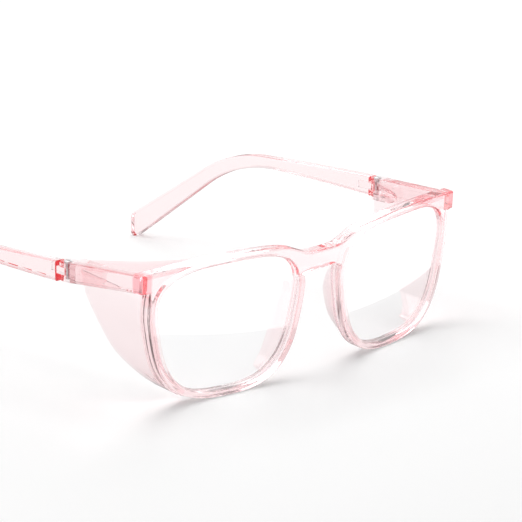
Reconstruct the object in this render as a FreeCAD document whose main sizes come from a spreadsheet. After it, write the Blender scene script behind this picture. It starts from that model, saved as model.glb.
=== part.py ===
import FreeCAD, Part
import math
import os
import Sketcher

# Clear wraparound spectacles: a one-piece front with end arms, two lenses, side and top shields,
# nose pads, and two temples that fold on screw hinges.
# X points to the wearer's left, Y to the back of the head and Z up. The glasses stand on the bottoms of
# the rims and the tips of the temples. The origin is on that surface, under the middle of the glasses.

Vector = FreeCAD.Vector

# name, value in millimetres or degrees, what it is
SIZES = (
    ("WrapRadius", 255.0, "radius of the curve of the front round the face"),
    ("TiltAngle", 4.2, "forward lean of the top of the front"),
    ("RestDepth", 0.25, "depth of the flats worn on the rim bottoms"),
    ("EyeHeight", 40.4, "height of a lens opening"),
    ("EyeTopWidth", 57.6, "width of the frame round a lens opening at its top"),
    ("EyeBottomWidth", 41.4, "width of the frame round a lens opening at its bottom"),
    ("NoseGap", 14.5, "distance between the two lens openings at their widest"),
    ("EyeSquareness", 3.1, "2 is an ellipse, more is squarer"),
    ("RimWidth", 2.4, "width of the rim above and below the lens"),
    ("RimOuterWidth", 3.0, "width of the rim at its outer side"),
    ("RimNasalWidth", 2.7, "width of the rim beside the nose"),
    ("RimDepth", 4.5, "depth of the rim from front to back"),
    ("RimRound", 0.7, "rounding of the edges of the rim"),
    ("BridgeFall", 4.9, "depth of the top of the bridge below the top of the rims"),
    ("BridgeHeight", 6.2, "height of the bridge at its middle"),
    ("ArchSpread", 1.05, "distance that the arch under the bridge reaches past the nose gap on each side"),
    ("BrowReach", 21.0, "distance from the middle to where the bridge has joined the rim top"),
    ("EndOverhang", 2.95, "distance of the end of the front past the widest part of the lens opening"),
    ("EndFall", 2.2, "depth of the top outer corner of the front below the top of the rims"),
    ("EndHeight", 5.7, "height of the outer end of the front"),
    ("LensThick", 2.0, "thickness of a lens"),
    ("LensSetback", 1.2, "depth of the lens behind the face of the rim"),
    ("GrooveDepth", 0.8, "depth of the groove that holds the lens"),
    ("LensGap", 0.02, "clearance of the lens in its groove"),
    ("ArmEnd", 36.3, "distance of the end of an arm behind the face of the front"),
    ("ArmWidth", 4.2, "width of an arm"),
    ("ArmSplay", 2.2, "distance that an arm runs outwards to its end"),
    ("ArmFall", 1.7, "distance that the top of an arm falls to its end"),
    ("ArmInset", 0.1, "depth of an arm's top and bottom inside the end of the front"),
    ("ArmEndHeight", 6.2, "height of an arm at its end"),
    ("ArmRound", 0.9, "rounding of the long edges of an arm"),
    ("ShieldThick", 1.5, "thickness of a side shield"),
    ("ShieldProud", 1.2, "distance that a side shield stands out past the rim"),
    ("ShieldSetback", 0.9, "depth of the front edge of a side shield behind the face of the rim"),
    ("ShieldLean", 3.0, "angle at which a side shield leans inwards to the back"),
    ("TopShieldThick", 1.2, "thickness of a top shield"),
    ("TopShieldGap", 0.3, "distance of the rear corner of a top shield in front of the end of the arm"),
    ("TopShieldTilt", 2.6, "angle at which a top shield rises to the middle"),
    ("TopShieldDrop", 0.35, "depth of a top shield under the top of the arm"),
    ("PadThick", 2.2, "thickness of a nose pad"),
    ("PadProud", 0.9, "distance that a nose pad stands out past the rim where it is thickest"),
    ("PadSunk", 0.5, "distance of the ends of a nose pad inside the edge of the rim"),
    ("PadSetback", 0.8, "depth of the front edge of a nose pad behind the face of the rim"),
    ("PadReach", 8.4, "distance of the rear edge of a nose pad behind the face of the front"),
    ("PadSplay", 14.0, "angle at which a nose pad opens to the back"),
    ("PinInset", 2.4, "distance of the axis of a hinge inside the outer face of the arm"),
    ("PinSetback", 3.3, "distance of the axis of a hinge behind the end of the arm"),
    ("KnuckleRadius", 2.2, "radius of the hinge knuckles"),
    ("TongueInset", 0.1, "depth of the tongue's round end inside the knuckles"),
    ("TongueHeight", 2.3, "height of the tongue of the temple in the hinge"),
    ("TongueGap", 0.15, "clearance above and below the tongue"),
    ("HingeGap", 0.35, "clearance in front of the tongue"),
    ("BlockLength", 13.0, "length of the hinge block along the arm"),
    ("BlockThick", 3.0, "distance of the inner face of the hinge block from the arm"),
    ("BlockEnd", 1.4, "thickness of the hinge block over the end of the arm"),
    ("BlockGrooveDepth", 0.5, "depth of the long groove in the inner face of the hinge block"),
    ("BlockGrooveHeight", 1.6, "height of the long groove in the inner face of the hinge block"),
    ("ScrewRadius", 0.7, "radius of the shank of the hinge screw"),
    ("ScrewFit", 0.03, "clearance round the shank of the hinge screw"),
    ("ScrewHeadRadius", 1.3, "radius of the head of the hinge screw"),
    ("ScrewHeadHeight", 0.7, "height of the head of the hinge screw"),
    ("ScrewSlot", 0.4, "width and depth of the driver slot"),
    ("ScrewShort", 0.3, "distance of the foot of the screw above the bottom of the lower knuckle"),
    ("TempleThick", 3.8, "thickness of a temple"),
    ("TempleStart", 3.0, "distance of the end face of a temple behind its hinge axis"),
    ("TempleFrontHeight", 6.5, "height of a temple at its front end"),
    ("TempleLow", 0.3, "depth of the top of a temple below the top of the arm"),
    ("TempleProud", 0.2, "distance of the outer face of a temple outside the arm"),
    ("TempleWaist", 3.0, "height of a temple above its bend"),
    ("TempleBendRun", 64.9, "distance of the bend of a temple behind its hinge axis"),
    ("TempleBendRadius", 52.0, "radius of the bend of a temple"),
    ("TempleTipHeight", 7.7, "height of the end face of a temple"),
    ("TempleLength", 111.2, "distance of the tip of a temple behind its hinge axis"),
    ("TempleTipIn", 8.0, "distance that a temple runs inwards from its hinge to its tip"),
    ("TempleBow", 3.5, "depth of the outward bow of a temple"),
    ("TempleRound", 0.8, "rounding of the long edges of a temple"),
)

# name, formula, what it is
WORKED_OUT = (
    ("EyeSpacing", "=EyeTopWidth + NoseGap", "distance between the middles of the two lens openings"),
    ("RimTop", "=EyeHeight + 2 * RimWidth", "height of the top of the rims"),
    ("BridgeTop", "=RimTop - BridgeFall", "height of the top of the bridge"),
    ("ArchHalfWidth", "=NoseGap / 2 + ArchSpread", "half the width of the arch under the bridge"),
    ("EndHalfWidth", "=(EyeSpacing + EyeTopWidth) / 2 + EndOverhang", "half the width of the front"),
    ("EndTop", "=RimTop - EndFall", "height of the top outer corner of the front"),
    ("ArmEndHalfWidth", "=EndHalfWidth + ArmSplay", "half the width over the ends of the arms"),
    ("ArmEndTop", "=EndTop - ArmFall", "height of the top of an arm at its end"),
    ("PinHalfSpacing", "=ArmEndHalfWidth - PinInset", "distance from the middle to the axis of a hinge"),
    ("PinBack", "=ArmEnd + PinSetback", "distance of the axis of a hinge behind the face of the front"),
    ("KnuckleHeight", "=ArmEndHeight", "height of the hinge from the lower knuckle to the upper one"),
    ("OriginBack", "0", "distance of the origin behind the face of the front, filled in by build"),
)

# Cutting shapes run this far past the work.
BEYOND = 20.0

OUTLINE_STEPS = 56


def make_sheet(doc):
    sheet = doc.addObject("Spreadsheet::Sheet", "Sizes")
    for row, (alias, value, note) in enumerate(SIZES + WORKED_OUT, start=1):
        sheet.set("A%d" % row, alias)
        sheet.set("B%d" % row, str(value))
        sheet.set("C%d" % row, note)
        sheet.setAlias("B%d" % row, alias)
    doc.recompute()
    return sheet


document = FreeCAD.newDocument("glasses")
size = make_sheet(document)


# Outlines

def rounded_loop(corners):
    """Lines and tangent arcs round a polygon of (across, up, radius) corners."""
    starts = []
    ends = []
    arcs = []
    count = len(corners)
    for i in range(count):
        here = Vector(corners[i][0], corners[i][1], 0)
        before = (Vector(corners[i - 1][0], corners[i - 1][1], 0) - here).normalize()
        after = (Vector(corners[(i + 1) % count][0], corners[(i + 1) % count][1], 0) - here).normalize()
        half = before.getAngle(after) / 2
        radius = corners[i][2]
        reach = radius / math.tan(half)
        starts.append(here + before * reach)
        ends.append(here + after * reach)
        if radius > 0:
            middle = here + (before + after).normalize() * (radius / math.sin(half) - radius)
            arcs.append(Part.Arc(starts[-1], middle, ends[-1]))
        else:
            arcs.append(None)
    pieces = []
    for i in range(count):
        if arcs[i]:
            pieces.append(arcs[i])
        if (starts[(i + 1) % count] - ends[i]).Length > 1e-6:
            pieces.append(Part.LineSegment(ends[i], starts[(i + 1) % count]))
    return pieces


def flat_wire(pieces):
    """A closed wire in the XY plane from lines, arcs and curves in any order."""
    return Part.Wire(Part.__sortEdges__([piece.toShape() for piece in pieces]))


def flat_face(pieces):
    return Part.Face(flat_wire(pieces))


def stand_up(face):
    """Turn a face drawn as (x, z) so that it stands in the XZ plane."""
    face.rotate(Vector(0, 0, 0), Vector(1, 0, 0), 90)
    return face


def side_on(face):
    """Turn a face drawn as (y, z) so that it stands in the YZ plane."""
    face.rotate(Vector(0, 0, 0), Vector(1, 1, 1), 120)
    return face


def curve(points):
    spline = Part.BSplineCurve()
    spline.interpolate([Vector(x, y, 0) for x, y in points])
    return spline


def closed_curve(points):
    spline = Part.BSplineCurve()
    spline.interpolate(Points=[Vector(x, y, 0) for x, y in points], PeriodicFlag=True)
    return spline


# Shape of the left lens opening, drawn flat as (x, z), with z from the bottom of the rim

def eye_centre_height():
    return size.RimWidth + size.EyeHeight / 2


def eye_point(turn):
    """Point of the opening: turn 0 is the outer side, 90 the top and 180 the nasal side."""
    across = math.cos(math.radians(turn))
    up = math.sin(math.radians(turn))
    power = 2 / size.EyeSquareness
    across = math.copysign(abs(across) ** power, across)
    up = math.copysign(abs(up) ** power, up)
    half_width = (size.EyeTopWidth * (1 + up) + size.EyeBottomWidth * (1 - up)) / 4
    return size.EyeSpacing / 2 + half_width * across, eye_centre_height() + size.EyeHeight / 2 * up


def eye_normal(turn):
    x0, z0 = eye_point(turn - 0.5)
    x1, z1 = eye_point(turn + 0.5)
    length = math.hypot(x1 - x0, z1 - z0)
    return (z1 - z0) / length, (x0 - x1) / length


def eye_offset_point(turn, offset):
    x, z = eye_point(turn)
    nx, nz = eye_normal(turn)
    return x + nx * offset, z + nz * offset


def rim_width(turn):
    nx, nz = eye_normal(turn)
    side = size.RimOuterWidth if nx > 0 else size.RimNasalWidth
    return size.RimWidth + (side - size.RimWidth) * nx * nx


def rim_point(turn, extra=0.0):
    """Point of the outer edge of the rim, or a point so much further out."""
    return eye_offset_point(turn, rim_width(turn) + extra)


def turns(first, last, count):
    return [first + (last - first) * i / count for i in range(count + 1)]


def eye_wire(offset, side=1):
    points = [eye_offset_point(turn, offset) for turn in turns(0, 360, OUTLINE_STEPS)[:-1]]
    return Part.Wire([closed_curve([(side * x, z) for x, z in points]).toShape()])


# The curved and tilted space of the front

def wrap_depth(x):
    """How far the face of the front has curved back at a distance x from the middle."""
    return size.WrapRadius - math.sqrt(size.WrapRadius ** 2 - x * x)


def wrapped(face, near, far):
    """The part of a flat outline that lies between two depths behind the curved face."""
    axis = Vector(0, size.WrapRadius, -30)
    solid = face.extrude(Vector(0, 60, 0))
    solid.translate(Vector(0, -15, 0))
    outer = Part.makeCylinder(size.WrapRadius - near, 120, axis)
    inner = Part.makeCylinder(size.WrapRadius - far, 120, axis)
    return solid.common(outer.cut(inner))


def floor_drop():
    """Lift of the front that puts the bottoms of the rims just through the floor."""
    return -wrap_depth(size.EyeSpacing / 2) * math.sin(math.radians(size.TiltAngle)) - size.RestDepth


def behind(shape, depth):
    """The part of a shape that lies deeper than this behind the curved face."""
    return shape.common(Part.makeCylinder(size.WrapRadius - depth, 120, Vector(0, size.WrapRadius, -30)))


def tilted(shape):
    shape.rotate(Vector(0, 0, 0), Vector(1, 0, 0), size.TiltAngle)
    shape.translate(Vector(0, 0, floor_drop()))
    return shape


def mirrored(shape):
    return shape.mirror(Vector(0, 0, 0), Vector(1, 0, 0))


def largest_solid(shape):
    return max(shape.Solids, key=lambda solid: solid.Volume)


# Front: two rims and the bridge in one curved plate, with an arm run back from each end

def lower_outline_half():
    """From the bottom of the outer end, under the rim and up beside the nose to the arch."""
    first = 8.0
    last = -195.0
    return [rim_point(turn) for turn in turns(first, last, 44)]


def front_outline():
    lower = lower_outline_half()
    arch_height = size.BridgeTop - size.BridgeHeight
    half_arch = size.ArchHalfWidth
    arch = [
        (half_arch * 0.93, arch_height - size.BridgeHeight * 0.18),
        (half_arch * 0.72, arch_height - size.BridgeHeight * 0.03),
        (0, arch_height),
    ]
    half = [
        point for point in lower
        if point[0] > half_arch + size.ArchSpread or point[1] < arch_height - size.RimWidth
    ]
    half = half + arch[:-1]
    other = [(-x, z) for x, z in reversed(half)]
    lower_curve = curve(half + [arch[-1]] + other)
    start = half[0]
    end_bottom = size.EndTop - size.EndHeight
    top_left = (size.EndHalfWidth, size.EndTop)
    brow = [
        top_left,
        (size.EyeSpacing / 2 + size.EyeTopWidth * 0.36, size.RimTop - size.EndFall * 0.4),
        (size.EyeSpacing / 2 + size.EyeTopWidth * 0.16, size.RimTop - size.EndFall * 0.05),
        (size.EyeSpacing / 2 - size.EyeTopWidth * 0.08, size.RimTop),
        (size.BrowReach, size.RimTop - size.BridgeFall * 0.14),
        (size.BrowReach * 0.6, size.RimTop - size.BridgeFall * 0.48),
        (size.BrowReach * 0.36, size.RimTop - size.BridgeFall * 0.9),
        (0, size.BridgeTop),
    ]
    upper_curve = curve(brow + [(-x, z) for x, z in reversed(brow[:-1])])
    pieces = [lower_curve, upper_curve]
    for side in (1, -1):
        corner = [
            Vector(side * start[0], start[1], 0),
            Vector(side * start[0], end_bottom, 0),
            Vector(side * size.EndHalfWidth, end_bottom, 0),
            Vector(side * top_left[0], top_left[1], 0),
        ]
        pieces += [Part.LineSegment(a, b) for a, b in zip(corner, corner[1:])]
    return flat_wire(pieces)


def on_wrap(edge, depth):
    """Whether an edge lies on the curved surface at a depth behind the face."""
    first, last = edge.ParameterRange
    for share in (0.1, 0.5, 0.9):
        point = edge.valueAt(first + (last - first) * share)
        if abs(math.hypot(point.x, point.y - size.WrapRadius) - (size.WrapRadius - depth)) > 0.01:
            return False
    return True


def front_plate():
    openings = [front_outline(), eye_wire(0), eye_wire(0, -1)]
    plate = wrapped(stand_up(Part.makeFace(openings, "Part::FaceMakerBullseye")), 0, size.RimDepth)
    groove = wrapped(
        stand_up(Part.Face(eye_wire(size.GrooveDepth + size.LensGap))),
        size.LensSetback - size.LensGap,
        size.LensSetback + size.LensThick + size.LensGap,
    )
    plate = largest_solid(plate.cut(groove).cut(mirrored(groove)))
    rims = [edge for edge in plate.Edges if on_wrap(edge, 0) or on_wrap(edge, size.RimDepth)]
    return plate.makeFillet(size.RimRound, rims)


def front_blank():
    """The front without its openings, to trim what is fixed to it."""
    return tilted(wrapped(stand_up(Part.Face(front_outline())), 0, size.RimDepth))


def arm_section(back, outer, top, height):
    inner = outer - size.ArmWidth
    corners = [(outer, top), (inner, top), (inner, top - height), (outer, top - height)]
    points = [Vector(x, back, z) for x, z in corners]
    return Part.makePolygon(points + [points[0]])


def arm():
    """The left arm, from inside the end of the front to the hinge block."""
    depth = wrap_depth(size.EndHalfWidth) - size.EndTop * math.sin(math.radians(size.TiltAngle))
    front = depth + size.RimDepth / 2
    loft = Part.makeLoft([
        arm_section(front, size.EndHalfWidth, size.EndTop - size.ArmInset, size.EndHeight - size.ArmInset),
        arm_section(size.ArmEnd, size.ArmEndHalfWidth, size.ArmEndTop, size.ArmEndHeight),
    ], True, True)
    long_edges = [edge for edge in loft.Edges if edge.BoundBox.YLength > size.ArmEnd / 2]
    return loft.makeFillet(size.ArmRound, long_edges)


def front_frame():
    frame = tilted(front_plate())
    frame = frame.fuse([arm(), mirrored(arm())])
    below = Part.makeBox(200, 60, 20, Vector(-100, -20, -20))
    return largest_solid(frame.cut(below).removeSplitter())


def lens():
    face = stand_up(Part.Face(eye_wire(size.GrooveDepth)))
    return largest_solid(tilted(wrapped(face, size.LensSetback, size.LensSetback + size.LensThick)))


# Shields and pads

def band_face(first, last, count, outer, thick):
    """A strip along the rim: outer gives its outer offset from the rim's edge at a share of the way."""
    shares = [i / count for i in range(count + 1)]
    places = [(first + (last - first) * share, outer(share)) for share in shares]
    outside = [rim_point(turn, offset) for turn, offset in places]
    inside = [rim_point(turn, offset - thick) for turn, offset in places]
    pieces = [curve(inside), curve(outside)]
    for a, b in ((inside[0], outside[0]), (inside[-1], outside[-1])):
        pieces.append(Part.LineSegment(Vector(a[0], a[1], 0), Vector(b[0], b[1], 0)))
    return stand_up(flat_face(pieces))


def swept_back(face, angle, length):
    return face.extrude(Vector(math.tan(math.radians(angle)) * length, length, 0))


def side_shield_offset(share):
    """Proud of the rim at the top, and in line with its edge at the lower end."""
    return size.ShieldProud * (1 - max(0, (share - 0.55) / 0.45) ** 2)


def side_shield(block):
    """A wall that follows the outer side of the rim and runs back under the arm."""
    strip = band_face(27, -60, 26, side_shield_offset, size.ShieldThick)
    reach = size.ArmEnd
    wall = tilted(behind(swept_back(strip, -size.ShieldLean, reach + BEYOND), size.ShieldSetback))
    side = side_on(flat_face(rounded_loop([
        (0, -0.124 * size.EyeHeight, 0),
        (0.06 * reach, -0.124 * size.EyeHeight, 0),
        (0.74 * reach, 0.356 * size.EyeHeight, 0.55 * reach),
        (reach, 0.78 * size.EyeHeight, 0.16 * reach),
        (reach, 1.24 * size.EyeHeight, 0),
        (0, 1.24 * size.EyeHeight, 0),
    ])))
    wall = wall.common(side.extrude(Vector(size.EndHalfWidth + BEYOND, 0, 0)))
    return largest_solid(wall.cut([front_blank(), arm(), block]))


def top_shield(block):
    """A flat web in the corner between the rim top and the arm."""
    inner = size.EndHalfWidth - size.ArmWidth / 2
    reach = size.ArmEnd - size.TopShieldGap
    eye = size.EyeSpacing / 2
    span = inner - eye
    rim_back = wrap_depth(eye) + size.RimDepth - size.EndTop * math.sin(math.radians(size.TiltAngle))
    start = (eye - 0.1 * span, rim_back - size.RimRound)
    edge = curve([
        start,
        (eye + 0.22 * span, 0.22 * reach),
        (eye + 0.42 * span, 0.355 * reach),
        (eye + 0.6 * span, 0.52 * reach),
        (eye + 0.774 * span, 0.78 * reach),
        (eye + 0.916 * span, reach),
    ])
    corners = [
        Vector(eye + 0.916 * span, reach, 0),
        Vector(inner + size.ArmSplay, reach, 0),
        Vector(inner, size.RimDepth, 0),
        Vector(eye, 0, 0),
        Vector(start[0], 0, 0),
        Vector(start[0], start[1], 0),
    ]
    pieces = [edge] + [Part.LineSegment(a, b) for a, b in zip(corners, corners[1:])]
    web = flat_face(pieces).extrude(Vector(0, 0, -size.TopShieldThick))
    anchor = Vector(size.EndHalfWidth, size.RimDepth, 0)
    fall = math.degrees(math.atan(size.ArmFall / (size.ArmEnd - size.RimDepth)))
    web.rotate(anchor, Vector(1, 0, 0), -fall)
    web.rotate(anchor, Vector(0, 1, 0), size.TopShieldTilt)
    web.translate(Vector(0, 0, size.EndTop - size.TopShieldDrop))
    return largest_solid(web.cut([front_blank(), arm(), block]))


def nose_pad_offset(share):
    """The pad swells past the rim's edge near its upper end."""
    swell = math.sin(math.pi * math.sqrt(share)) ** 3
    return size.PadProud * swell - size.PadSunk * (1 - swell)


def nose_pad():
    """A curved wall behind the nasal side of the rim."""
    strip = band_face(164, 232, 18, nose_pad_offset, size.PadThick)
    reach = size.PadReach
    wall = tilted(behind(swept_back(strip, size.PadSplay, reach + BEYOND), size.PadSetback))
    side = side_on(flat_face(rounded_loop([
        (-0.6 * reach, 0, 0),
        (0.55 * reach, 0, 0),
        (0.86 * reach, 0.16 * size.EyeHeight, 0.6 * reach),
        (reach, 0.33 * size.EyeHeight, reach),
        (0.96 * reach, 0.57 * size.EyeHeight, 0.7 * reach),
        (0.36 * reach, 0.84 * size.EyeHeight, 0.3 * reach),
        (-0.6 * reach, 0.84 * size.EyeHeight, 0),
    ])))
    wall = wall.common(side.extrude(Vector(size.EyeSpacing, 0, 0)))
    return largest_solid(wall.cut(front_blank()))


# Sketched bodies of the hinge and the temple

def origin_plane(body, role):
    for feature in body.Origin.OriginFeatures:
        if feature.Role == role:
            return feature


def add_sketch(body, name, role, pieces, height=None):
    sketch = body.newObject("Sketcher::SketchObject", name)
    sketch.AttachmentSupport = [(origin_plane(body, role), "")]
    sketch.MapMode = "FlatFace"
    if height:
        sketch.setExpression("AttachmentOffset.Base.z", height)
    sketch.addGeometry(pieces, False)
    return sketch


def add_pad(body, name, sketch, length):
    pad = body.newObject("PartDesign::Pad", name)
    pad.Profile = sketch
    pad.setExpression("Length", length)
    return pad


def add_through_cut(body, name, sketch):
    cut = body.newObject("PartDesign::Pocket", name)
    cut.Profile = sketch
    cut.Type = "ThroughAll"
    cut.SideType = "Symmetric"
    return cut


def add_circle(body, name, height, radius):
    """A circle about the hinge axis."""
    centre = Vector(size.PinHalfSpacing, size.PinBack, 0)
    circle = Part.Circle(centre, Vector(0, 0, 1), 1.0)
    sketch = add_sketch(body, name, "XY_Plane", [circle], height)
    sketch.addConstraint(Sketcher.Constraint("DistanceX", -1, 1, 0, 3, centre.x))
    sketch.addConstraint(Sketcher.Constraint("DistanceY", -1, 1, 0, 3, centre.y))
    sketch.addConstraint(Sketcher.Constraint("Radius", 0, 1.0))
    sketch.setExpression("Constraints[0]", "Sizes.PinHalfSpacing")
    sketch.setExpression("Constraints[1]", "Sizes.PinBack")
    sketch.setExpression("Constraints[2]", radius)
    return sketch


def make_body(label):
    body = document.addObject("PartDesign::Body", label)
    body.Label = label
    return body


HINGE_BOTTOM = "Sizes.ArmEndTop - Sizes.KnuckleHeight"
TONGUE_BOTTOM = "Sizes.ArmEndTop - Sizes.KnuckleHeight / 2 - Sizes.TongueHeight / 2"


def knuckle_loop(front, radius, left):
    """A plan of a knuckle: round about the hinge axis and square to the front or the back."""
    x = size.PinHalfSpacing
    y = size.PinBack
    far = y - radius if front > y else y + radius
    return [
        Part.Arc(Vector(x - radius, y, 0), Vector(x, far, 0), Vector(x + radius, y, 0)),
        Part.LineSegment(Vector(x + radius, y, 0), Vector(x + radius, front, 0)),
        Part.LineSegment(Vector(x + radius, front, 0), Vector(left, front, 0)),
    ]


def hinge_block_blank():
    """A bullet-shaped block on the arm's inner face, a plate over its end and two knuckles."""
    body = make_body("hinge_block_blank")
    inner = size.ArmEndHalfWidth - size.ArmWidth - size.BlockThick
    end = size.ArmEnd + size.BlockEnd
    top = size.ArmEndTop
    bottom = top - size.KnuckleHeight
    nose = end - size.BlockLength
    tall = size.KnuckleHeight
    bullet = rounded_loop([
        (end, bottom, 0),
        (end, top, 0),
        (nose, top - 0.05 * tall, 0.44 * tall),
        (nose + 0.2 * tall, bottom + 0.2 * tall, 0.28 * tall),
        (nose + 0.46 * size.BlockLength, bottom, 0.3 * tall),
    ])
    sketch = add_sketch(body, "BulletSketch", "YZ_Plane", bullet,
                        "Sizes.ArmEndHalfWidth - Sizes.ArmWidth - Sizes.BlockThick")
    add_pad(body, "Bullet", sketch, "Sizes.BlockThick + Sizes.ArmWidth / 4")
    radius = size.KnuckleRadius
    front = size.ArmEnd
    plan = knuckle_loop(front, radius, inner)
    plan += [
        Part.LineSegment(Vector(inner, front, 0), Vector(inner, end, 0)),
        Part.LineSegment(Vector(inner, end, 0), Vector(size.PinHalfSpacing - radius, end, 0)),
        Part.LineSegment(Vector(size.PinHalfSpacing - radius, end, 0),
                         Vector(size.PinHalfSpacing - radius, size.PinBack, 0)),
    ]
    sketch = add_sketch(body, "KnuckleSketch", "XY_Plane", plan, HINGE_BOTTOM)
    add_pad(body, "Knuckles", sketch, "Sizes.KnuckleHeight")
    slot_front = size.PinBack - radius - size.HingeGap
    slot_bottom = top - size.KnuckleHeight / 2 - size.TongueHeight / 2 - size.TongueGap
    slot_top = slot_bottom + size.TongueHeight + 2 * size.TongueGap
    slot = rounded_loop([
        (slot_front, slot_bottom, 0),
        (end + BEYOND, slot_bottom, 0),
        (end + BEYOND, slot_top, 0),
        (slot_front, slot_top, 0),
    ])
    add_through_cut(body, "TongueSlot", add_sketch(body, "SlotSketch", "YZ_Plane", slot))
    bore = add_circle(body, "BoreSketch", None, "Sizes.ScrewRadius + Sizes.ScrewFit")
    add_through_cut(body, "Bore", bore)
    seat = add_circle(body, "SeatSketch", "Sizes.ArmEndTop", "Sizes.ScrewHeadRadius + Sizes.ScrewFit")
    cut = body.newObject("PartDesign::Pocket", "Seat")
    cut.Profile = seat
    cut.setExpression("Length", "Sizes.ScrewHeadHeight")
    groove_low = top - (tall + size.BlockGrooveHeight) / 2
    groove_high = groove_low + size.BlockGrooveHeight
    groove_front = nose + 0.2 * size.BlockLength
    groove_back = end - 0.1 * size.BlockLength
    groove_round = 0.45 * size.BlockGrooveHeight
    groove = rounded_loop([
        (groove_back, groove_low, groove_round),
        (groove_back, groove_high, groove_round),
        (groove_front, groove_high, groove_round),
        (groove_front, groove_low, groove_round),
    ])
    sketch = add_sketch(body, "GrooveSketch", "YZ_Plane", groove,
                        "Sizes.ArmEndHalfWidth - Sizes.ArmWidth - Sizes.BlockThick")
    cut = body.newObject("PartDesign::Pocket", "InnerGroove")
    cut.Profile = sketch
    cut.Reversed = True
    cut.setExpression("Length", "Sizes.BlockGrooveDepth")
    return body


def hinge_screw():
    body = make_body("hinge_screw_left")
    head = size.ScrewHeadRadius
    shank = size.ScrewRadius
    top = size.ArmEndTop
    seat = top - size.ScrewHeadHeight
    foot = top - size.KnuckleHeight + size.ScrewShort
    half = rounded_loop([
        (0, foot, 0),
        (shank, foot, 0.3 * shank),
        (shank, seat, 0),
        (head, seat, 0),
        (head, top, 0.2 * head),
        (0, top, 0),
    ])
    sketch = add_sketch(body, "ScrewSketch", "XZ_Plane", half)
    turned = body.newObject("PartDesign::Revolution", "Turned")
    turned.Profile = sketch
    turned.ReferenceAxis = (sketch, ["V_Axis"])
    turned.Angle = 360
    wide = size.ScrewSlot / 2
    slot = rounded_loop([
        (-wide, top - size.ScrewSlot, 0),
        (wide, top - size.ScrewSlot, 0),
        (wide, top + BEYOND, 0),
        (-wide, top + BEYOND, 0),
    ])
    add_through_cut(body, "DriverSlot", add_sketch(body, "DriverSketch", "XZ_Plane", slot))
    return body


def temple_side():
    """Side view of the temple: a bar that slims to its bend, then drops to a flat rounded tip."""
    start = size.PinBack + size.TempleStart
    top = size.ArmEndTop - size.TempleLow
    bend = size.PinBack + size.TempleBendRun
    waist_top = top - (size.TempleFrontHeight - size.TempleWaist)
    end = size.PinBack + size.TempleLength
    bottom = top - size.TempleFrontHeight
    return rounded_loop([
        (start, bottom, 0),
        (start, top, 0),
        (bend + 0.9 * size.TempleWaist, waist_top, size.TempleBendRadius),
        (end, size.TempleTipHeight, 0.42 * size.TempleTipHeight),
        (end, 0, 0.18 * size.TempleTipHeight),
        (end - 0.26 * size.TempleTipHeight, 0, 0.18 * size.TempleTipHeight),
        (bend, bottom, size.TempleBendRadius),
    ])


def temple_plan():
    """Plan regions inside and outside the bowed bar, which are cut away."""
    start = size.PinBack + size.TempleStart - 1
    end = size.PinBack + size.TempleLength + 1
    x_start = size.ArmEndHalfWidth + size.TempleProud
    x_end = x_start - size.TempleTipIn
    middle = (start + end) / 2
    x_middle = (x_start + x_end) / 2 + size.TempleBow
    thick = size.TempleThick
    loops = []
    for x_shift, x_far in ((0, x_start + BEYOND), (-thick, -BEYOND)):
        a = Vector(x_start + x_shift, start, 0)
        b = Vector(x_middle + x_shift, middle, 0)
        c = Vector(x_end + x_shift, end, 0)
        far_c = Vector(x_far, end, 0)
        far_a = Vector(x_far, start, 0)
        loops += [Part.Arc(a, b, c), Part.LineSegment(c, far_c), Part.LineSegment(far_c, far_a),
                  Part.LineSegment(far_a, a)]
    return loops


def temple():
    body = make_body("temple_left")
    sketch = add_sketch(body, "SideSketch", "YZ_Plane", temple_side())
    add_pad(body, "Bar", sketch, "Sizes.ArmEndHalfWidth + 2 * Sizes.TempleBow")
    add_through_cut(body, "Bow", add_sketch(body, "PlanSketch", "XY_Plane", temple_plan()))
    document.recompute()
    bar = body.Tip
    names = []
    for number, edge in enumerate(bar.Shape.Edges, start=1):
        if edge.BoundBox.YLength > 0.08 * size.TempleThick:
            names.append("Edge%d" % number)
    rounding = body.newObject("PartDesign::Fillet", "Rounding")
    rounding.Base = (bar, names)
    rounding.setExpression("Radius", "Sizes.TempleRound")
    document.recompute()
    radius = size.KnuckleRadius - size.TongueInset
    back = size.PinBack + size.TempleStart + size.TempleThick
    x = size.PinHalfSpacing
    plan = knuckle_loop(back, radius, x - radius)
    plan.append(Part.LineSegment(Vector(x - radius, back, 0), Vector(x - radius, size.PinBack, 0)))
    sketch = add_sketch(body, "TongueSketch", "XY_Plane", plan, TONGUE_BOTTOM)
    add_pad(body, "Tongue", sketch, "Sizes.TongueHeight")
    bore = add_circle(body, "TongueBoreSketch", None, "Sizes.ScrewRadius + Sizes.ScrewFit")
    add_through_cut(body, "TongueBore", bore)
    return body


# Assembly

def add_shape(label, shape):
    thing = document.addObject("Part::Feature", label)
    thing.Label = label
    thing.Shape = shape
    return thing


def settle(thing, back="-Sizes.OriginBack"):
    """Bring a piece from behind the face of the front to the origin of the glasses."""
    thing.setExpression("Placement.Base.y", back)


def mirror_piece(source, label):
    other = document.addObject("Part::Mirroring", label)
    other.Label = label
    other.Source = source
    other.Normal = Vector(1, 0, 0)
    other.Base = Vector(0, 0, 0)
    return other


def middle_of_length(things):
    boxes = [thing.Shape.optimalBoundingBox(False) for thing in things]
    return (min(box.YMin for box in boxes) + max(box.YMax for box in boxes)) / 2


def check(things):
    for thing in document.Objects:
        assert "Invalid" not in thing.State and "Error" not in thing.State, thing.Label
    for thing in things:
        assert not thing.Shape.isNull() and thing.Shape.isValid(), thing.Label


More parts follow.
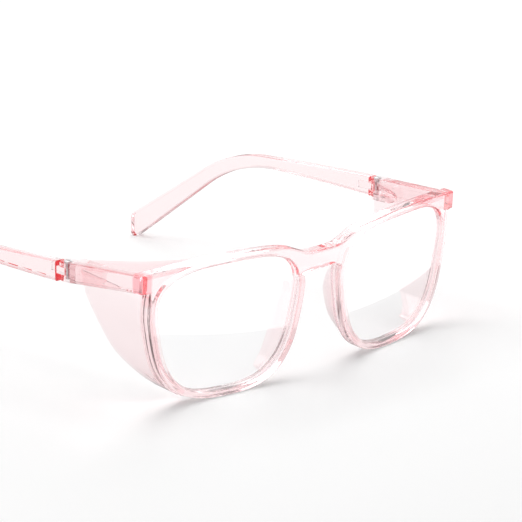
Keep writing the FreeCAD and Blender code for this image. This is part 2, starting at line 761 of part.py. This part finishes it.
def build():
    frame_shape = front_frame()
    frame_blank = add_shape("front_frame_blank", frame_shape)
    block_blank = hinge_block_blank()
    document.recompute()
    block = document.addObject("Part::Cut", "hinge_block_left")
    block.Base = block_blank
    block.Tool = frame_blank
    document.recompute()
    block_shape = block.Shape.copy()
    left = [
        block,
        add_shape("lens_left", lens()),
        add_shape("side_shield_left", side_shield(block_shape)),
        add_shape("top_shield_left", top_shield(block_shape)),
        add_shape("nose_pad_left", nose_pad()),
        temple(),
    ]
    frame = add_shape("front_frame", frame_shape)
    size.set("OriginBack", str(middle_of_length(left + [frame])))
    document.recompute()
    for thing in left + [frame]:
        settle(thing)
    screw = hinge_screw()
    screw.setExpression("Placement.Base.x", "Sizes.PinHalfSpacing")
    settle(screw, "Sizes.PinBack - Sizes.OriginBack")
    left.append(screw)
    document.recompute()
    right = [mirror_piece(thing, thing.Label.replace("_left", "_right")) for thing in left]
    document.recompute()
    return [frame] + left + right


parts = build()
check(parts)
os.makedirs("parts", exist_ok=True)
for part in parts:
    part.Shape.exportStep("parts/%s.step" % part.Label)
    print(part.Label, round(part.Shape.Volume, 1), len(part.Shape.Solids))
print("hinge axes at x", size.PinHalfSpacing, "y", round(size.PinBack - size.OriginBack, 4))
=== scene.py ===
import bpy
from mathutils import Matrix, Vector

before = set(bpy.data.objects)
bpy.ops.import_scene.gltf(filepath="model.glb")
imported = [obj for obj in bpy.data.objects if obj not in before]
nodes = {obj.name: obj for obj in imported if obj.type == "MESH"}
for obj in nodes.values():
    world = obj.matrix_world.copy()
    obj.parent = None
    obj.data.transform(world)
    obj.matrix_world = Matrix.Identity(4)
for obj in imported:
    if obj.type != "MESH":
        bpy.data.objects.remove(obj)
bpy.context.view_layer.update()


# Front: the two rims, the bridge and the two arms. The real one is moulded in one piece of clear pink
# plastic with polished faces. Light that runs along inside it comes out deep pink at the edges and at the
# blunt front ends of the arms. At the arms' front ends that deep pink is painted light, put into the colour.

class Shade:
    """A socket of a material or a world, with arithmetic that adds Math nodes."""

    def __init__(self, owner, socket=None):
        self.owner = owner
        self.socket = socket

    def node(self, kind, settings=(), values=(), out=0):
        """Adds a node. Settings are set first, then the values or links of its inputs. It gives one output,
        or with out=None the node itself, whose outputs part() gives."""
        made = self.owner.node_tree.nodes.new("ShaderNode" + kind)
        for name, value in dict(settings).items():
            if name == "stops":
                while len(made.color_ramp.elements) < len(value):
                    made.color_ramp.elements.new(0.5)
                for element, (place, colour) in zip(made.color_ramp.elements, value):
                    element.position = place
                    element.color = colour
            else:
                setattr(made, name, value)
        for name, value in dict(values).items():
            if isinstance(value, Shade):
                self.owner.node_tree.links.new(value.socket, made.inputs[name])
            else:
                made.inputs[name].default_value = value
        return Shade(self.owner, made if out is None else made.outputs[out])

    def part(self, name):
        return Shade(self.owner, self.socket.outputs[name])

    def maths(self, operation, first, second):
        return self.node("Math", {"operation": operation}, {0: first, 1: second})

    def step(self, low, high, least=0.0, most=1.0):
        """Goes softly from least to most as this socket goes from low to high."""
        return self.node("MapRange", {"interpolation_type": "SMOOTHSTEP"}, {
            "Value": self, "From Min": low, "From Max": high, "To Min": least, "To Max": most,
        })

    def __add__(self, other):
        return self.maths("ADD", self, other)

    def __radd__(self, other):
        return self.maths("ADD", other, self)

    def __sub__(self, other):
        return self.maths("SUBTRACT", self, other)

    def __rsub__(self, other):
        return self.maths("SUBTRACT", other, self)

    def __mul__(self, other):
        return self.maths("MULTIPLY", self, other)

    def __rmul__(self, other):
        return self.maths("MULTIPLY", other, self)


def new_material(name):
    material = bpy.data.materials.new(name)
    material.use_nodes = True
    material.node_tree.nodes.clear()
    return Shade(material)


def show(shade, surface, volume=None, gap=None):
    """Ends a material in its output node."""
    tree = shade.owner.node_tree
    output = tree.nodes.new("ShaderNodeOutputMaterial")
    for name, value in (("Surface", surface), ("Volume", volume), ("Displacement", gap)):
        if value:
            tree.links.new(value.socket, output.inputs[name])
    return shade.owner


def arm_end_light_mask(place):
    """Where the painted light goes: one on the blunt front ends of the two arms, and nought elsewhere."""
    where = place.node("SeparateXYZ", {}, {0: place}, out=None)
    outward = place.maths("ABSOLUTE", where.part("X"), 0.0).step(0.0643, 0.0652)
    forward = where.part("Y").step(-0.0632, -0.0640)
    upward = where.part("Z").step(0.0325, 0.0335)
    return outward * forward * upward


def clear_plastic(name, pale, deep, density, ripple, handled, index=1.49, gloss=0.0, ends=None, inset=None):
    """Polished clear pink plastic: a faint tint on the faces, and a deeper one with the distance through it.
    ends is a deep pink painted on the arms' front ends. It is painted light, for the light that runs along
    inside the plastic and comes out there. inset is a gap of a hair to the piece that it is moulded to,
    so that light doesn't get caught between two faces at one place."""
    shade = new_material(name)
    place = shade.node("TexCoord", out="Object")
    flow = shade.node("TexNoise", {}, {"Vector": place, "Scale": 55.0, "Detail": 2.0})
    rubbed = shade.node("TexNoise", {}, {"Vector": place, "Scale": 420.0, "Detail": 4.0, "Roughness": 0.65})
    colour = shade.node("ValToRGB", {"stops": [(0.35, pale), (0.7, deep)]}, {"Fac": flow})
    if ends:
        # Painted light: the deep pink of the light coming out at the arms' front ends, mixed into the
        # colour.
        colour = shade.node("MixRGB", {}, {0: arm_end_light_mask(place), 1: colour, 2: ends})
    relief = shade.node("Bump", {}, {"Strength": ripple, "Distance": 0.0004, "Height": flow})
    plastic = shade.node("BsdfPrincipled", {}, {
        "Base Color": colour,
        "Roughness": 0.015 + handled * rubbed,
        "IOR": index,
        "Transmission Weight": 1.0,
        "Coat Weight": gloss,
        "Coat Roughness": 0.02,
        "Normal": relief,
    })
    through = shade.node("VolumeAbsorption", {}, {"Color": (1.0, 0.46, 0.50, 1.0), "Density": density})
    gap = None
    if inset:
        shade.owner.displacement_method = "DISPLACEMENT"
        gap = shade.node("Displacement", {}, {"Height": 0.0, "Midlevel": 1.0, "Scale": inset})
    return show(shade, plastic, through, gap)


def wear(material, *names):
    """Puts a material on CAD pieces."""
    for name in names:
        mesh = nodes[name].data
        mesh.materials.clear()
        mesh.materials.append(material)


front_plastic = clear_plastic(
    "clear_pink_front",
    pale=(0.995, 0.945, 0.948, 1.0),
    deep=(0.99, 0.93, 0.935, 1.0),
    density=45.0,
    ripple=0.05,
    handled=0.03,
    # painted light: deep pink on the arms' front ends, where light from inside the plastic comes out
    ends=(0.99, 0.40, 0.44, 1.0),
)
wear(front_plastic, "front_frame")


# Lenses: thin curved discs of clear hard plastic, ground to the shape of the rims and snapped into their
# grooves. They have a smooth scratch-resistant coat, no colour of their own, and throw hardly any shadow.

def lens_plastic():
    shade = new_material("clear_lens")
    place = shade.node("TexCoord", out="Object")
    smears = shade.node("TexNoise", {}, {"Vector": place, "Scale": 90.0, "Detail": 3.0})
    tint = shade.node("ValToRGB", {"stops": [
        (0.3, (0.985, 0.99, 0.99, 1.0)),
        (0.8, (0.975, 0.98, 0.985, 1.0)),
    ]}, {"Fac": smears})
    clear = shade.node("BsdfPrincipled", {}, {
        "Base Color": tint,
        "Roughness": 0.004 + 0.008 * smears,
        "IOR": 1.55,
        "Transmission Weight": 1.0,
    })
    return show(shade, clear)


def let_light_past(*names):
    """Thin clear pieces throw no shadow of the lamps."""
    for name in names:
        nodes[name].visible_shadow = False


wear(lens_plastic(), "lens_left", "lens_right")
let_light_past("lens_left", "lens_right")


# Side shields: curved walls beside the eyes, moulded with the front in the same clear pink. They are thin,
# so light goes nearly straight through them, and they look paler than the rims.

thin_plastic = clear_plastic(
    "clear_pink_shield",
    pale=(0.995, 0.935, 0.94, 1.0),
    deep=(0.99, 0.92, 0.925, 1.0),
    density=45.0,
    ripple=0.04,
    handled=0.04,
    index=1.03,
    gloss=1.0,
    inset=0.00002,
)
wear(thin_plastic, "side_shield_left", "side_shield_right")
let_light_past("side_shield_left", "side_shield_right")


# Top shields: flat webs in the corner between the rim top and the arm, moulded with the front. The light
# runs along them, so they look deeper than the side shields. That deeper pink is painted light, put into
# their colour.

web_plastic = clear_plastic(
    "clear_pink_web",
    # painted light: the deeper pink stands for the light that runs along the webs
    pale=(0.985, 0.875, 0.885, 1.0),
    deep=(0.98, 0.85, 0.86, 1.0),
    density=60.0,
    ripple=0.04,
    handled=0.04,
    index=1.03,
    gloss=1.0,
    inset=0.00002,
)
wear(web_plastic, "top_shield_left", "top_shield_right")


# Nose pads: curved walls at the inner side of each rim, moulded with the front. They are as clear and as
# smooth as the side shields.

wear(thin_plastic, "nose_pad_left", "nose_pad_right")


# Hinge blocks: the bullet-shaped blocks with the knuckles at the ends of the arms, moulded with the front.
# They lie flat against the arms, which can be seen through.

wear(thin_plastic, "hinge_block_left", "hinge_block_right")


# Temples: one bar of clear pink plastic each, bent down behind the ear, with the tongue of the hinge at
# the front end. The bars are a little paler than the front.

temple_plastic = clear_plastic(
    "clear_pink_temple",
    pale=(0.995, 0.95, 0.95, 1.0),
    deep=(0.99, 0.935, 0.935, 1.0),
    density=38.0,
    ripple=0.04,
    handled=0.05,
)
wear(temple_plastic, "temple_left", "temple_right")


# Hinge screws: small turned steel screws with a slotted head, which hold the temples and are their pins.

def screw_steel():
    shade = new_material("turned_steel")
    place = shade.node("TexCoord", out="Object")
    turned = shade.node("TexNoise", {}, {"Vector": place, "Scale": 2500.0, "Detail": 3.0})
    colour = shade.node("ValToRGB", {"stops": [
        (0.3, (0.52, 0.52, 0.53, 1.0)),
        (0.7, (0.68, 0.68, 0.69, 1.0)),
    ]}, {"Fac": turned})
    steel = shade.node("BsdfPrincipled", {}, {
        "Base Color": colour,
        "Metallic": 1.0,
        "Roughness": 0.22 + 0.12 * turned,
    })
    return show(shade, steel)


wear(screw_steel(), "hinge_screw_left", "hinge_screw_right")


# Stage: a white table in a white room, with a large soft lamp overhead and a smaller one behind on the
# right. A bright card in front of the glasses is seen only in mirror reflections, as in the lenses, and
# the room is darker behind the camera, which gives the edges of the plastic their darker lines.

def table_white():
    shade = new_material("white_table")
    camera_ray = shade.node("LightPath", out="Is Camera Ray")
    through_ray = shade.node("LightPath", out="Is Transmission Ray")
    mirror_ray = shade.node("LightPath", out="Is Glossy Ray") * (1.0 - through_ray)
    paint = shade.node("BsdfDiffuse", {}, {"Color": (0.88, 0.88, 0.88, 1.0)})
    seen = shade.node("Emission", {}, {"Strength": 0.115 * (camera_ray + through_ray)})
    lit = shade.node("AddShader", {}, {0: paint, 1: seen})

    place = shade.node("SeparateXYZ", {}, {0: shade.node("TexCoord", out="Object")}, out=None)
    x = place.part("X")
    y = place.part("Y")
    apart = x * x + y * y
    far_off = apart.step(0.05, 0.4)
    white = shade.node("Emission", {}, {"Strength": 1.0})
    ground = shade.node("MixShader", {}, {0: far_off * (camera_ray + through_ray), 1: lit, 2: white})

    past_card_edge = 0.236 * x - y - 0.1055
    card = past_card_edge.step(-0.001, 0.001, least=0.3, most=2.8)
    mirrored = shade.node("Emission", {}, {"Strength": card})
    return show(shade, shade.node("MixShader", {}, {0: mirror_ray, 1: ground, 2: mirrored}))


bpy.ops.mesh.primitive_plane_add(size=8.0, location=(0.0, 0.0, 0.0))
table = bpy.context.object
table.name = "table"
table.data.materials.append(table_white())


def room_white():
    """White to the camera, plain light for the table, and darker towards the camera in the plastic."""
    world = bpy.data.worlds.new("white_room")
    world.use_nodes = True
    world.node_tree.nodes.clear()
    shade = Shade(world)
    camera_ray = shade.node("LightPath", out="Is Camera Ray")
    through_ray = shade.node("LightPath", out="Is Transmission Ray")
    mirror_ray = shade.node("LightPath", out="Is Glossy Ray")
    plastic_ray = shade.maths("MINIMUM", through_ray + mirror_ray, 1.0)
    side = shade.node("SeparateXYZ", {}, {0: shade.node("TexCoord", out="Generated")}, out=None)
    back_and_up = 0.45 * side.part("Y") + 0.75 * side.part("Z")
    in_plastic = back_and_up.step(-0.45, 0.3, least=0.12, most=0.95)
    plain = 0.52
    strength = camera_ray + (1.0 - camera_ray) * (plain + plastic_ray * (in_plastic - plain))
    sky = shade.node("Background", {}, {"Color": (1.0, 1.0, 1.0, 1.0), "Strength": strength})
    output = world.node_tree.nodes.new("ShaderNodeOutputWorld")
    world.node_tree.links.new(sky.socket, output.inputs["Surface"])
    bpy.context.scene.world = world


room_white()


def soft_lamp(name, place, target, width, height, power):
    lamp = bpy.data.lights.new(name, "AREA")
    lamp.shape = "RECTANGLE"
    lamp.size = width
    lamp.size_y = height
    lamp.energy = power
    holder = bpy.data.objects.new(name, lamp)
    bpy.context.scene.collection.objects.link(holder)
    holder.location = place
    holder.rotation_euler = (Vector(target) - Vector(place)).to_track_quat("-Z", "Y").to_euler()


soft_lamp("overhead_lamp", (0.0, 0.25, 0.9), (0.0, 0.0, 0.0), width=1.0, height=0.8, power=5.0)
soft_lamp("side_lamp", (0.6, 0.45, 0.6), (0.0, 0.0, 0.02), width=0.4, height=0.4, power=1.5)

camera_data = bpy.data.cameras.new("camera")
camera_data.lens = 243.3
camera_data.sensor_width = 36.0
camera_data.clip_start = 0.05
camera = bpy.data.objects.new("camera", camera_data)
bpy.context.scene.collection.objects.link(camera)
camera.location = (-0.7408, -0.8037, 0.3483)
look_at = Vector((-0.00518, -0.05395, 0.0321))
camera.rotation_euler = (look_at - camera.location).to_track_quat("-Z", "Y").to_euler()
bpy.context.scene.camera = camera

bpy.context.scene.view_settings.view_transform = "Standard"

# Light is turned back many times inside thick clear plastic before it comes out.
most_turns = 40
bpy.context.scene.cycles.max_bounces = most_turns
bpy.context.scene.cycles.transmission_bounces = most_turns
bpy.context.scene.cycles.glossy_bounces = most_turns
